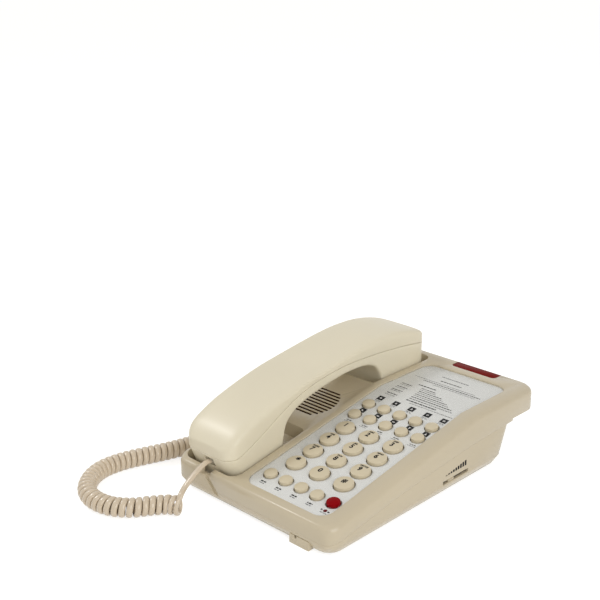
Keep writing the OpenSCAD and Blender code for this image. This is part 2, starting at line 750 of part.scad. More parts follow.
// Tube round a route of points, with an oval section that is w wide along the side directions
module tube(route, sideways, w, t, sides) {
    n = len(route);
    ways = ways_of(route);
    rings = [for (i = [0:n - 1]) let (a = square_to(sideways[i], ways[i]), b = cross(ways[i], a))
        each [for (k = [0:sides - 1]) let (q = 360 * (k + 0.5) / sides)
            route[i] + a * (w / 2 * cos(q)) + b * (t / 2 * sin(q))]];
    walls = [for (i = [0:n - 2]) for (k = [0:sides - 1]) let (
        j = (k + 1) % sides, p = i * sides + k, q = i * sides + j)
        each [[p, p + sides, q + sides], [p, q + sides, q]]];
    polyhedron(rings, concat(walls,
        [for (k = [1:sides - 2]) [0, k, k + 1]],
        [for (k = [1:sides - 2]) [(n - 1) * sides, (n - 1) * sides + k + 1, (n - 1) * sides + k]]));
}

// Smooth curve through a list of points, with steps parts in each span and ends parts in the outer two
function curve(p, steps, ends) = let (n = len(p)) concat(
    [for (i = [0:n - 2]) let (parts = i == 0 || i == n - 2 ? ends : steps) for (k = [0:parts - 1]) let (
        t = k / parts, a = p[max(i - 1, 0)], b = p[i], c = p[i + 1], d = p[min(i + 2, n - 1)])
        ((2 * b) + (c - a) * t + (2 * a - 5 * b + 4 * c - d) * t * t
            + (3 * b - a - 3 * c + d) * t * t * t) / 2],
    [p[n - 1]]);

curl_z = curl_d / 2 + 0.05;
curl_r = (curl_d - cord_w) / 2;
coil_axis = [[-36, -133], [-43, -137], [-50, -146], [-57, -156], [-68, -163.5], [-82, -165.5],
    [-95, -161.5], [-106, -151], [-112, -137], [-111.5, -121], [-107, -105.5], [-102, -91], [-98, -76],
    [-95.5, -60], [-94, -46]];
axis_fine = curve(coil_axis, 12, 12);
axis_s = [for (i = 0, s = 0; i < len(axis_fine); i = i + 1,
    s = i < len(axis_fine) ? s + norm(axis_fine[i] - axis_fine[i - 1]) : s) s];
axis_l = axis_s[len(axis_s) - 1];
axis_x = [for (i = [0:len(axis_fine) - 1]) [axis_s[i], axis_fine[i][0]]];
axis_y = [for (i = [0:len(axis_fine) - 1]) [axis_s[i], axis_fine[i][1]]];
function axis_at(s) = [lookup(s, axis_x), lookup(s, axis_y)];

curl_rings = 8;
start_turn = 45;
all_turns = 360 * curls + 180;
function spot(turn) = axis_l * turn / all_turns;
// Direction of the axis, and the direction from the axis to the cord, after so many degrees of curl
function axis_way(turn) = let (s = spot(turn))
    unit(axis_at(min(s + 1.5, axis_l)) - axis_at(max(s - 1.5, 0)));
function curl_out(turn) = let (w = axis_way(turn), a = start_turn - turn)
    [-w[1] * cos(a), w[0] * cos(a), sin(a)];
// Centre of the cord there, with the curls spread evenly along the axis
function curl_at(turn) = let (p = axis_at(spot(turn)))
    [p[0], p[1], curl_z] + curl_r * curl_out(turn);

ring_turns = [for (i = [0:floor(all_turns * curl_rings / 360)]) i * 360 / curl_rings];
curl_points = [for (t = ring_turns) curl_at(t)];
last_turn = ring_turns[len(ring_turns) - 1];
way_in = unit(curl_at(12) - curl_at(0));
way_out = unit(curl_at(last_turn) - curl_at(last_turn - 12));
coil_front = curl_at(0) - way_in * cord_w;
coil_back = curl_at(last_turn) + way_out * cord_w;

// Least gap of the curls to each other: nearest distance to the next turn, less the cord's thickness
curl_gap = min([for (t = [0:15:last_turn - 400])
    min([for (d = [320:10:400]) norm(curl_at(t + d) - curl_at(t))])]) - cord_t;
echo(axis_length = axis_l, pitch = spot(360), curl_gap = curl_gap);
echo(front = coil_front, way_in = way_in, back = coil_back, way_out = way_out);

module cord_coil() color("#cdbfa6") tube(concat([coil_front], curl_points, [coil_back]),
    concat([curl_out(0)], [for (t = ring_turns) curl_out(t)], [curl_out(last_turn)]), cord_w, cord_t, 6);

// Lead along a route, with its flat side level at the start
module lead(route, across) {
    points = curve(route, 4, 1);
    tube(points, sides_of(ways_of(points), across), cord_w, cord_t, 8);
}

// Route from the handset's plug to the coil
handset_lead = concat([[hs_jack_x, hs_jack_face, hs_jack_z], [-40, -107, 26], [-39.5, -113, 24],
    [-39, -120, 20.5], [-38, -127, 16.5]], [coil_front - way_in * cord_w, coil_front]);

module cord_handset_lead() color("#cdbfa6") lead(handset_lead, [1, 0, 0]);

// Route from the plug in the base to the coil
base_lead = [[cord_face - plug_out, cord_y, cord_z], [cord_face - plug_out - 4, cord_y, cord_z],
    [-84.5, -14, 12.2], [-87.5, -20, 12.8], [-87.3, -28, 13.6], [-86, -36, 14],
    coil_back + way_out * 5 + [0, 2.5, 0], coil_back + way_out * cord_w, coil_back];

module cord_base_lead() color("#cdbfa6") lead(base_lead, [0, 1, 0]);

// ---------- drawing ----------
upper_housing();
lower_housing();
faceplate_card();
faceplate_cover();
lamp_lens();
lamp_board();
base_speaker();
main_board();
key_membrane();
for (i = [0:11]) dial_key(i);
for (i = [0:9]) memory_key(i);
for (i = [0:3]) function_key(i);
message_key();
hook_plunger();
hook_switch();
volume_slider();
volume_control();
line_jack();
cord_jack();
base_microphone();
rubber_feet();
housing_screws();
handset_top();
handset_bottom();
ear_speaker();
handset_microphone();
handset_weight();
handset_jack();
handset_screws();
cord_handset_plug();
cord_handset_lead();
cord_coil();
cord_base_lead();
cord_base_plug();
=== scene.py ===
import bmesh
import bpy
import json
import math
import random
import numpy as np
from mathutils import Matrix, Vector

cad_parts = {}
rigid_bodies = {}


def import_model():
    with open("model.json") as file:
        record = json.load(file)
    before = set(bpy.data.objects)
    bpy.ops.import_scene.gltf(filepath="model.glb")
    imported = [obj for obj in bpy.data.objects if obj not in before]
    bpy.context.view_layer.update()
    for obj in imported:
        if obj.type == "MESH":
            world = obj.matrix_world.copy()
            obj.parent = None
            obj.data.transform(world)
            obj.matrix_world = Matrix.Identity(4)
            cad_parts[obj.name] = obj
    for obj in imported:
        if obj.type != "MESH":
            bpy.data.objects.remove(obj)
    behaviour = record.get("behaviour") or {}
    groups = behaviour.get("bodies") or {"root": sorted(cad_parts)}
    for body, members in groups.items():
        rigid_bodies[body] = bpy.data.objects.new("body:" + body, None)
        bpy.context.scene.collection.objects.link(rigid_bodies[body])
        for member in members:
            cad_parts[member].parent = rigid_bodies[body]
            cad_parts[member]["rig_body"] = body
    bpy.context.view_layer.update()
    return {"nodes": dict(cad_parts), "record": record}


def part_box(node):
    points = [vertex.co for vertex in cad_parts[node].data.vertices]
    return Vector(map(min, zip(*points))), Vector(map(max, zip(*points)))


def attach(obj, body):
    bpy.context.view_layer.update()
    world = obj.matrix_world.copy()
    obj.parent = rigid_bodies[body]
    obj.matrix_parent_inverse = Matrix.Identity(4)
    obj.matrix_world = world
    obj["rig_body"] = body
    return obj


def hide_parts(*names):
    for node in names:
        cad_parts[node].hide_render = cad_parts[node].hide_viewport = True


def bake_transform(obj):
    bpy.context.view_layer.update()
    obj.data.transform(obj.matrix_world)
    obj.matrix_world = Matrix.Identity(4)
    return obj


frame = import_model()
nodes = frame["nodes"]
scene = bpy.context.scene
mm = 0.001

cameraSettings = {"place": (0.4365, -0.5137, 0.3477), "lens": 64.57, "sensor": 36, "azimuth": 43.959,
                  "elevation": 18.697, "near": 0.01, "far": 20}


def addCamera(s):
    turn = (math.radians(90 - s["elevation"]), 0, math.radians(s["azimuth"]))
    bpy.ops.object.camera_add(location=s["place"], rotation=turn)
    camera = bpy.context.object
    camera.name = "deskCamera"
    camera.data.lens = s["lens"]
    camera.data.sensor_width = s["sensor"]
    camera.data.clip_start = s["near"]
    camera.data.clip_end = s["far"]
    scene.camera = camera
    scene.view_settings.view_transform = "Standard"


addCamera(cameraSettings)
print("camera in place")


class Wire:  # a socket that adds Math nodes wherever it stands in a sum
    def __init__(self, board, socket):
        self.board = board
        self.socket = socket

    def sum(self, operation, first, second):
        return self.board.node("ShaderNodeMath", {"operation": operation}, {0: first, 1: second})

    def __add__(self, other):
        return self.sum("ADD", self, other)

    def __radd__(self, other):
        return self.sum("ADD", other, self)

    def __mul__(self, other):
        return self.sum("MULTIPLY", self, other)


class NodeBoard:  # the nodes of one material or of the world
    def __init__(self, tree):
        self.tree = tree

    def node(self, kind, settings=None, inputs=None, output=0):
        made = self.tree.nodes.new(kind)
        for name, value in (settings or {}).items():
            setattr(made, name, value)
        for name, value in (inputs or {}).items():
            self.feed(made, name, value)
        return Wire(self, made.outputs[output])

    def feed(self, target, name, value):
        if isinstance(value, Wire):
            self.tree.links.new(value.socket, target.inputs[name])
        else:
            target.inputs[name].default_value = value

    def mix(self, factor, first, second):
        return self.node("ShaderNodeMix", {"data_type": "RGBA"}, {0: factor, 6: first, 7: second}, 2)

    def noise(self, scale, detail=2.0):
        place = self.node("ShaderNodeTexCoord", output=3)
        return self.node("ShaderNodeTexNoise", None, {"Vector": place, "Scale": scale, "Detail": detail})


def srgb(red, green, blue):
    def straight(c):
        return c / 255 / 12.92 if c <= 10 else ((c / 255 + 0.055) / 1.055) ** 2.4
    return (straight(red), straight(green), straight(blue), 1.0)


def shaded(colour, factor):
    return tuple(min(1.0, c * factor) for c in colour[:3]) + (1.0,)


def startMaterial(name, fixed):
    material = bpy.data.materials.new(name)
    material.use_nodes = True
    shader = material.node_tree.nodes["Principled BSDF"]
    for socket, value in fixed.items():
        shader.inputs[socket].default_value = value
    return material, NodeBoard(material.node_tree), shader


# Moulded plastic: tone and gloss drift slowly over the part, with a fine spark-eroded grain on top
def mouldedPlastic(name, colour, rough=0.4, grain=0.00003, drift=0.05, coat=0.0, shine=0.5):
    material, board, shader = startMaterial(name, {"Coat Weight": coat, "Coat Roughness": 0.12,
                                                   "Specular IOR Level": shine})
    slow = board.noise(22, 3)
    fine = board.noise(2600, 2)
    board.feed(shader, "Base Color", board.mix(slow * 0.8 + fine * 0.2, shaded(colour, 1 - 1.6 * drift),
                                               shaded(colour, 1 + drift)))
    board.feed(shader, "Roughness", (rough - 0.06) + slow * 0.08 + fine * 0.05)
    board.feed(shader, "Normal", board.node("ShaderNodeBump", None, {"Height": fine, "Strength": 0.35,
                                                                     "Distance": grain}))
    return material


def metalFinish(name, colour, rough):
    material, board, shader = startMaterial(name, {"Metallic": 1.0})
    grain = board.noise(900, 4)
    board.feed(shader, "Base Color", board.mix(grain, shaded(colour, 0.75), colour))
    board.feed(shader, "Roughness", rough + grain * 0.15)
    return material


# Printed card: white with faint paper fibres under a gloss
def cardFinish(name, low, high):
    material, board, shader = startMaterial(name, {"Specular IOR Level": 0.3})
    fibre = board.noise(1400, 3)
    board.feed(shader, "Base Color", board.mix(board.noise(9, 2) * 0.6 + fibre * 0.4, low, high))
    board.feed(shader, "Roughness", 0.3 + fibre * 0.12)
    return material


# Clear sheet: nearly nothing seen square on, more and more gloss towards a glancing view
def clearFinish(name):
    material, board, shader = startMaterial(name, {"Base Color": (0.6, 0.62, 0.62, 1)})
    edge = board.node("ShaderNodeFresnel", None, {"IOR": 1.45})
    board.feed(shader, "Alpha", 0.015 + edge * 0.22)
    board.feed(shader, "Roughness", 0.12 + board.noise(60, 4) * 0.06)
    return material


def inkFinish(name, colour):
    material, board, shader = startMaterial(name, {"Specular IOR Level": 0.08})
    fine = board.noise(1800, 2)
    board.feed(shader, "Base Color", board.mix(fine, colour, shaded(colour, 1.4)))
    board.feed(shader, "Roughness", 0.55 + fine * 0.1)
    return material


finish = {
    "base": mouldedPlastic("baseIvory", srgb(202, 190, 165), 0.22),
    # painted shade: dark brown for the walls of the speaker's slots, in place of the shade inside them
    "shade": mouldedPlastic("slotPaintedShade", srgb(84, 58, 34), 0.6, 0.00001, 0.1, 0.0, 0.1),
    "handset": mouldedPlastic("handsetIvory", srgb(229, 221, 198), 0.36),
    "key": mouldedPlastic("keyIvory", srgb(211, 199, 172), 0.36, 0.000015),
    "redKey": mouldedPlastic("redKeyGloss", srgb(142, 8, 16), 0.25, 0.00001, 0.04, 0.0, 0.03),
    "plunger": mouldedPlastic("plungerIvory", srgb(188, 172, 140), 0.45),
    "jack": mouldedPlastic("jackIvory", srgb(206, 196, 172), 0.35),
    "dark": mouldedPlastic("darkPlastic", srgb(52, 42, 34), 0.55),
    "board": mouldedPlastic("boardGreen", srgb(34, 84, 48), 0.3),
    "membrane": mouldedPlastic("membraneGrey", srgb(112, 116, 120), 0.6),
    "rubber": mouldedPlastic("footRubber", srgb(46, 45, 44), 0.75, 0.00006),
    "plug": mouldedPlastic("plugPlastic", srgb(176, 166, 144), 0.18, 0.000005, 0.03, 0.5),
    "cord": mouldedPlastic("cordPlastic", srgb(212, 196, 173), 0.26, 0.00001, 0.05, 0.35),
    "lamp": mouldedPlastic("lampPlastic", srgb(122, 20, 12), 0.28, 0.000008, 0.3, 0.0, 0.015),
    "card": cardFinish("printedCard", srgb(234, 236, 236), srgb(250, 250, 249)),
    "clear": clearFinish("clearSheet"),
    "ink": inkFinish("blackInk", (0.006, 0.006, 0.007, 1)),
    "paleInk": inkFinish("greyInk", (0.07, 0.072, 0.08, 1)),
    "whiteInk": inkFinish("whiteInk", (0.8, 0.8, 0.8, 1)),
    "redInk": inkFinish("redInk", (0.1, 0.004, 0.008, 1)),
    "steel": metalFinish("zincSteel", (0.62, 0.61, 0.58, 1), 0.3),
    "iron": metalFinish("rawIron", (0.3, 0.3, 0.31, 1), 0.5),
    "gold": metalFinish("goldContact", (0.9, 0.66, 0.3, 1), 0.2),
}
slotFinish = {"housing_ivory": "base", "handset_ivory": "handset", "key_ivory": "key", "key_red": "redKey",
              "plunger_ivory": "plunger", "card_white": "card", "cover_clear": "clear", "lamp_red": "lamp",
              "board_green": "board", "membrane_grey": "membrane", "dark_plastic": "dark",
              "jack_ivory": "jack", "foot_rubber": "rubber", "steel": "steel", "weight_iron": "iron",
              "plug_clear": "plug", "cord_tan": "cord"}
nodeSlot = {part["node"]: part["material_slot"] for part in frame["record"]["subparts"]}
for nodeName, node in nodes.items():
    for place in node.material_slots:
        place.material = finish[slotFinish[nodeSlot[nodeName]]]
print("finishes made:", len(finish), "bare nodes:", [n for n in nodes if not nodes[n].material_slots])


def pickOnly(ob):
    if bpy.context.object and bpy.context.object.mode != "OBJECT":
        bpy.ops.object.mode_set(mode="OBJECT")
    bpy.ops.object.select_all(action="DESELECT")
    ob.select_set(True)
    bpy.context.view_layer.objects.active = ob


def startBlock(name, low, high):  # a block at its size and place, left in edit mode
    bpy.ops.object.select_all(action="DESELECT")
    low, high = Vector(low), Vector(high)
    bpy.ops.mesh.primitive_cube_add(size=1, location=(low + high) / 2)
    ob = bpy.context.object
    ob.name = name
    ob.scale = high - low
    bpy.ops.object.transform_apply(location=True, rotation=True, scale=True)
    bpy.ops.object.mode_set(mode="EDIT")
    return ob


def startRound(name, radius, low, high, sides=48, centre=(0, 0)):  # an upright cylinder, in edit mode
    bpy.ops.object.select_all(action="DESELECT")
    bpy.ops.mesh.primitive_cylinder_add(vertices=sides, radius=radius, depth=high - low,
                                        location=(centre[0], centre[1], (low + high) / 2))
    ob = bpy.context.object
    ob.name = name
    bpy.ops.object.transform_apply(location=True, rotation=True, scale=True)
    bpy.ops.object.mode_set(mode="EDIT")
    return ob


def cutAcross(axis, places):
    normal = [0, 0, 0]
    normal["xyz".index(axis)] = 1
    for place in places:
        bpy.ops.mesh.select_all(action="SELECT")
        bpy.ops.mesh.bisect(plane_co=[n * place for n in normal], plane_no=normal)


def near(a, b):
    return abs(a - b) < 0.02 * mm


def listWhere(ob, test):
    grid = bmesh.from_edit_mesh(ob.data)
    return {v.index for v in grid.verts if test(v.co)}


def pickThese(ob, picked):
    grid = bmesh.from_edit_mesh(ob.data)
    bpy.ops.mesh.select_mode(type="VERT")
    for v in grid.verts:
        v.select_set(v.index in picked)
    grid.select_flush(True)
    bmesh.update_edit_mesh(ob.data)


def pickWhere(ob, test):
    pickThese(ob, listWhere(ob, test))


def pickTop(ob):  # the highest level face
    grid = bmesh.from_edit_mesh(ob.data)
    bpy.ops.mesh.select_mode(type="FACE")
    highest = max(f.calc_center_median().z for f in grid.faces)
    for f in grid.faces:
        f.select_set(f.normal.z > 0.9 and f.calc_center_median().z > highest - 0.02 * mm)
    bmesh.update_edit_mesh(ob.data)


def useModifier(ob, kind, **settings):
    pickOnly(ob)
    modifier = ob.modifiers.new("step", kind)
    for key, value in settings.items():
        setattr(modifier, key, value)
    bpy.ops.object.modifier_apply(modifier=modifier.name)


def joined(parts, name):
    pickOnly(parts[0])
    for part in parts:
        part.select_set(True)
    if len(parts) > 1:
        bpy.ops.object.join()
    parts[0].name = name
    return parts[0]


def cutAway(ob, cutters):
    cutter = joined(cutters, "cutter")
    useModifier(ob, "BOOLEAN", operation="DIFFERENCE", object=cutter, solver="EXACT")
    bpy.data.objects.remove(cutter)


def plainBlock(name, low, high):
    ob = startBlock(name, low, high)
    bpy.ops.object.mode_set(mode="OBJECT")
    return ob


def plainRound(name, radius, low, high, sides=24, centre=(0, 0)):
    ob = startRound(name, radius, low, high, sides, centre)
    bpy.ops.object.mode_set(mode="OBJECT")
    return ob


def smooth(ob, degrees=35):
    pickOnly(ob)
    bpy.ops.object.shade_smooth_by_angle(angle=math.radians(degrees))
    return ob


def dress(ob, material, body, slot=None, replaced=()):
    ob.data.materials.clear()
    ob.data.materials.append(material)
    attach(ob, body)
    if replaced:
        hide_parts(*replaced)
    return ob


# A merged copy of a solid with its sharp edges broken
def softCopy(nodeName, piece, width, segments=2, sharp=40):
    ob = bpy.data.objects.new(piece, nodes[nodeName].data.copy())
    scene.collection.objects.link(ob)
    pickOnly(ob)
    bpy.ops.object.mode_set(mode="EDIT")
    bpy.ops.mesh.select_all(action="SELECT")
    bpy.ops.mesh.remove_doubles(threshold=0.002 * mm)
    bpy.ops.mesh.dissolve_limited(angle_limit=math.radians(0.5))
    bpy.ops.object.mode_set(mode="OBJECT")
    if ob.data.has_custom_normals:
        bpy.ops.mesh.customdata_custom_splitnormals_clear()
    useModifier(ob, "BEVEL", width=width, segments=segments, limit_method="ANGLE",
                angle_limit=math.radians(sharp), use_clamp_overlap=True)
    return ob


def dressCopy(ob, nodeName):
    slot = nodeSlot[nodeName]
    return dress(smooth(ob), finish[slotFinish[slot]], nodes[nodeName]["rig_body"], slot, [nodeName])


# Modular plug in its own frame: the lead leaves at the origin towards -Y and the body runs to +Y
plugSettings = {"wide": 7.4 * mm, "high": 5 * mm, "round": 0.45 * mm, "edge": 0.3 * mm, "sunk": 1.6 * mm,
                "latchWide": 3.2 * mm, "contacts": 4, "contactPitch": 1.25 * mm, "contactHalf": 0.2 * mm,
                "contactOut": 0.05 * mm, "contactIn": 0.5 * mm, "contactEnd": 0.3 * mm}


def makePlug(piece, nodeName, long, place, s=plugSettings):
    w, h, half = s["wide"] / 2, s["high"] / 2, s["latchWide"] / 2
    body = plainBlock(piece, (-w, s["sunk"], -h), (w, long - 0.1 * mm, h * 0.6))
    useModifier(body, "BEVEL", width=s["round"], segments=3)
    latch = plainBlock("latch", (-half, long * 0.3, h * 0.5), (half, long * 0.9, h))
    useModifier(latch, "BEVEL", width=s["edge"], segments=2)
    shoulder = plainBlock("shoulder", (-w * 0.8, s["sunk"] + 0.4 * mm, h * 0.45),
                          (w * 0.8, long * 0.4, h * 0.9))
    useModifier(shoulder, "BEVEL", width=s["edge"], segments=2)
    plug = joined([body, latch, shoulder], piece)
    plug.data.transform(place)
    dress(smooth(plug), finish["plug"], nodes[nodeName]["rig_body"], "plug_clear", [nodeName])
    bars = []
    for i in range(s["contacts"]):
        x = (i - (s["contacts"] - 1) / 2) * s["contactPitch"]
        bars.append(plainBlock("contact", (x - s["contactHalf"], long * 0.72, -h - s["contactOut"]),
                               (x + s["contactHalf"], long - s["contactEnd"], -h + s["contactIn"])))
    contacts = joined(bars, piece + "Contacts")
    contacts.data.transform(place)
    dress(contacts, finish["gold"], nodes[nodeName]["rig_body"])
    return plug


# Curly cord: a lead from the handset, one unbroken run of curls and a lead to the base
cordSettings = {
    "curls": 44, "curlOuter": 13 * mm, "solidWidth": 3.1 * mm, "radial": 2.9 * mm, "ribbon": 4.15 * mm,
    "leadWide": 4 * mm, "leadThick": 2.6 * mm, "rings": 26, "sides": 12, "startTurn": 45,
    "handsetPlug": 11 * mm, "basePlug": 14.5 * mm, "fadeTurn": 120, "filled": 0.93, "endTurn": 12,
    "axis": [(-36, -133), (-43, -137), (-50, -146), (-57, -156), (-68, -163.5), (-82, -165.5),
             (-95, -161.5), (-106, -151), (-112, -137), (-111.5, -121), (-107, -105.5), (-102, -91),
             (-98, -76), (-95.5, -60), (-94, -46)],
    "handsetLead": [(-40, -103.3, 26), (-40, -107, 26), (-39.5, -113, 24), (-39, -120, 20.5),
                    (-38, -127, 16.5)],
    "baseLead": [(-75.1, -12, 12), (-79.1, -12, 12), (-84.5, -14, 12.2), (-87.5, -20, 12.8),
                 (-87.3, -28, 13.6), (-86, -36, 14)],
}


def unit(v):
    return v / np.linalg.norm(v)


# Smooth curve through points: steps parts in each span, ends parts in the two outer spans
def smoothRoute(points, steps, ends):
    p = [np.array(q, float) for q in points]
    last = len(p) - 1
    out = []
    for i in range(last):
        parts = ends if i in (0, last - 1) else steps
        a, b, c, d = p[max(i - 1, 0)], p[i], p[i + 1], p[min(i + 2, last)]
        for t in np.arange(parts) / parts:
            out.append((2 * b + (c - a) * t + (2 * a - 5 * b + 4 * c - d) * t ** 2
                        + (3 * b - a - 3 * c + d) * t ** 3) / 2)
    out.append(p[-1])
    return np.array(out)


class CurlRoute:  # the middle line of the curls, by degrees of turn
    def __init__(self, s):
        self.fine = smoothRoute([(x * mm, y * mm) for x, y in s["axis"]], 12, 12)
        steps = np.linalg.norm(np.diff(self.fine, axis=0), axis=1)
        self.along = np.concatenate([[0], np.cumsum(steps)])
        self.turns = 360 * s["curls"] + 180
        self.radius = (s["curlOuter"] - s["solidWidth"]) / 2
        self.height = s["curlOuter"] / 2 + 0.05 * mm
        self.start = s["startTurn"]

    def spot(self, along):
        return np.array([np.interp(along, self.along, self.fine[:, k]) for k in (0, 1)])

    def out(self, turn):
        length = self.along[-1]
        s = length * turn / self.turns
        way = unit(self.spot(min(s + 1.5 * mm, length)) - self.spot(max(s - 1.5 * mm, 0)))
        a = math.radians(self.start - turn)
        return np.array([-way[1] * math.cos(a), way[0] * math.cos(a), math.sin(a)])

    def at(self, turn):
        p = self.spot(self.along[-1] * turn / self.turns)
        return np.array([p[0], p[1], self.height]) + self.radius * self.out(turn)


def waysAlong(route):
    last = len(route) - 1
    return [unit(route[min(i + 1, last)] - route[max(i - 1, 0)]) for i in range(last + 1)]


def carried(route, first):  # side directions carried along a route without twist
    side, out = np.array(first, float), []
    for way in waysAlong(route):
        side = unit(side - way * np.dot(side, way))
        out.append(side)
    return out


# Tube with a soft rectangular section, wide along the side directions and thick across them
def sweepTube(piece, route, sideways, wide, thick, sides, roundness=2.5):
    count = len(route)
    wide, thick = np.broadcast_to(wide, count), np.broadcast_to(thick, count)
    points, faces = [], []
    for i, way in enumerate(waysAlong(route)):
        a = unit(sideways[i] - way * np.dot(sideways[i], way))
        b = np.cross(way, a)
        for k in range(sides):
            x, y = math.cos(2 * math.pi * (k + 0.5) / sides), math.sin(2 * math.pi * (k + 0.5) / sides)
            fuller = (abs(x) ** roundness + abs(y) ** roundness) ** (-1 / roundness)
            points.append(tuple(route[i] + a * (wide[i] / 2 * x * fuller) + b * (thick[i] / 2 * y * fuller)))
    for i in range(count - 1):
        for k in range(sides):
            p, q = i * sides + k, i * sides + (k + 1) % sides
            faces.append((p, q, q + sides, p + sides))
    faces.append(tuple(range(sides - 1, -1, -1)))
    faces.append(tuple(range((count - 1) * sides, count * sides)))
    mesh = bpy.data.meshes.new(piece)
    mesh.from_pydata(points, [], faces)
    ob = bpy.data.objects.new(piece, mesh)
    scene.collection.objects.link(ob)
    pickOnly(ob)
    bpy.ops.object.mode_set(mode="EDIT")
    bpy.ops.mesh.select_all(action="SELECT")
    bpy.ops.mesh.normals_make_consistent(inside=False)
    bpy.ops.object.mode_set(mode="OBJECT")
    ob.data.materials.append(finish["cord"])
    return smooth(ob, 50)


def routeLength(route):
    return float(np.linalg.norm(np.diff(route, axis=0), axis=1).sum())


def declareCord(route):
    routeLength(route)


def makeCord(s):
    quarter = Matrix.Rotation(-math.pi / 2, 4, "Z")
    handsetPlug = makePlug("handsetPlug", "cord_handset_plug", s["handsetPlug"],
                           Matrix.Translation(Vector(s["handsetLead"][0]) * mm))
    basePlug = makePlug("basePlug", "cord_base_plug", s["basePlug"],
                        Matrix.Translation(Vector(s["baseLead"][0]) * mm) @ quarter)
    curl = CurlRoute(s)
    wayIn = unit(curl.at(s["endTurn"]) - curl.at(0))
    wayOut = unit(curl.at(curl.turns) - curl.at(curl.turns - s["endTurn"]))
    front = curl.at(0) - wayIn * s["solidWidth"]
    back = curl.at(curl.turns) + wayOut * s["solidWidth"]
    turns = np.linspace(0, curl.turns, int(curl.turns / 360 * s["rings"]) + 1)
    route = np.vstack([[front], [curl.at(t) for t in turns], [back]])
    outs = [curl.out(0)] + [curl.out(t) for t in turns] + [curl.out(curl.turns)]
    # The flat side fills the pitch, and less where the curls crowd on the inside of a bend
    pitch = [min(np.linalg.norm(curl.at(t + step) - curl.at(t)) for step in (-360, 360)
                 if 0 <= t + step <= curl.turns) for t in turns]
    across = np.clip(np.array(pitch) * s["filled"], s["leadThick"], s["ribbon"])
    fade = np.clip(turns / s["fadeTurn"], 0, 1) * np.clip((curl.turns - turns) / s["fadeTurn"], 0, 1)
    across = s["leadThick"] + (across - s["leadThick"]) * fade
    across = np.concatenate([[s["leadThick"]], across, [s["leadThick"]]])
    coil = sweepTube("handsetCoil", route, outs, s["radial"], across, s["sides"])
    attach(coil, "base")
    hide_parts("cord_coil")
    declareCord(route)

    lead = smoothRoute([np.array(p) * mm for p in s["handsetLead"]]
                       + [front - wayIn * s["solidWidth"], front], 8, 3)
    handsetLead = sweepTube("handsetLead", lead, carried(lead, (1, 0, 0)), s["leadWide"], s["leadThick"],
                            s["sides"])
    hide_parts("cord_handset_lead")
    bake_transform(handsetLead)
    declareCord(lead)

    lift = np.array([0, 2.5 * mm, 0])
    rear = smoothRoute([np.array(p) * mm for p in s["baseLead"]]
                       + [back + wayOut * 5 * mm + lift, back + wayOut * s["solidWidth"], back], 8, 3)
    baseWide = s["leadWide"] * 0.9
    baseLead = sweepTube("baseLead", rear, carried(rear, (0, 1, 0)), baseWide, s["leadThick"], s["sides"])
    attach(baseLead, "base")
    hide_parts("cord_base_lead")
    declareCord(rear)
    print("cord: leads %.0f and %.0f mm, curls %.0f mm" % tuple(
        routeLength(r) / mm for r in (lead, rear, route)))


makeCord(cordSettings)

# Heights of the base's top, which slopes down to the front from the bend
topShape = {"rear": 46 * mm, "bend": 34 * mm, "slope": math.radians(10.16), "wellDepth": 11.7 * mm}


def topHeight(y, s=topShape):
    return s["rear"] - math.tan(s["slope"]) * max(0, s["bend"] - y)


# Handset: two shells that meet in a seam, a crown over the grip and an arch under it
handsetShape = {
    "left": -65, "right": -19, "front": -105.5, "rear": 97, "corner": 10.5, "lean": 8.5, "wall": 2.2,
    "tallest": 77.25, "endSteps": [0, 0.6, 1.9, 4.2, 7.4, 12], "seam": 0.3,
    "topBlock": (31, 77), "topLevels": [0.3], "bottomBlock": (9, 68), "bottomLevels": [0.14, 0.55],
    "bottomColumns": [11, 19.5], "bottomDraw": 0.92,
    "rows": [-80, -72, -65, -60, -58, -57, -54.5, -50, -46, -40, -33, -25, -16.5, -6, 4, 12, 20, 29,
             34, 38, 41, 43.5, 45.5, 48, 54, 60, 67, 76],
    "joint": [(-106, 31.2), (-97, 32.2), (-89, 35.6), (-81, 39.6), (-65, 48), (-48, 56.5), (-33, 61.6),
              (-17, 64.6), (2, 66.6), (27, 66.4), (50, 65), (67, 63.4), (88, 60.6), (98, 59)],
    "crown": [(-106, 37.5), (-100, 44.5), (-93, 50), (-81, 55.6), (-65, 60.2), (-48, 64), (-33, 66.8),
              (-17, 69.2), (2, 72.2), (20, 75.2), (36, 77), (50, 77.4), (67, 76), (82, 72.6), (90, 70),
              (98, 66)],
    "arch": [(-58, 17), (-57, 30), (-54.5, 41), (-46, 48.8), (-33, 53.6), (-16.5, 57.2), (4, 60.2),
             (20, 60.4), (29, 59.2), (38, 55.2), (43.5, 47), (45.5, 33)],
    "section": [(12, 0.99), (18.6, 0.955), (21.6, 0.88), (23, 0.73)], "seamGap": 0.2,
    "earHole": 1.1, "earRing": 6, "earPlace": 68, "earDepth": (28, 40),
    "mouthHole": 0.9, "mouthPlace": -79, "mouthHoles": (-6, -2, 2, 6), "mouthDepth": (8, 19),
    "recess": [(-44.2, -112, 22.9), (-35.8, -91, 29.1)],
    "screws": [(-42, -64, 24), (-42, 90, 42)], "screwHole": 3, "screwFrom": 5,
}


# Height at depth y on a smooth line through a list of depth and height pairs
def onLine(y, table):
    ys, zs = np.array(table, float).T
    slopes = np.gradient(zs, ys)
    i = int(np.clip(np.searchsorted(ys, y) - 1, 0, len(ys) - 2))
    gap = ys[i + 1] - ys[i]
    t = (y - ys[i]) / gap
    return ((2 * t ** 3 - 3 * t ** 2 + 1) * zs[i] + (t ** 3 - 2 * t ** 2 + t) * gap * slopes[i]
            + (3 * t ** 2 - 2 * t ** 3) * zs[i + 1] + (t ** 3 - t ** 2) * gap * slopes[i + 1])


def handsetRows(s):
    ends = s["endSteps"]
    return [s["front"] + e for e in ends] + s["rows"] + [s["rear"] - e for e in reversed(ends)]


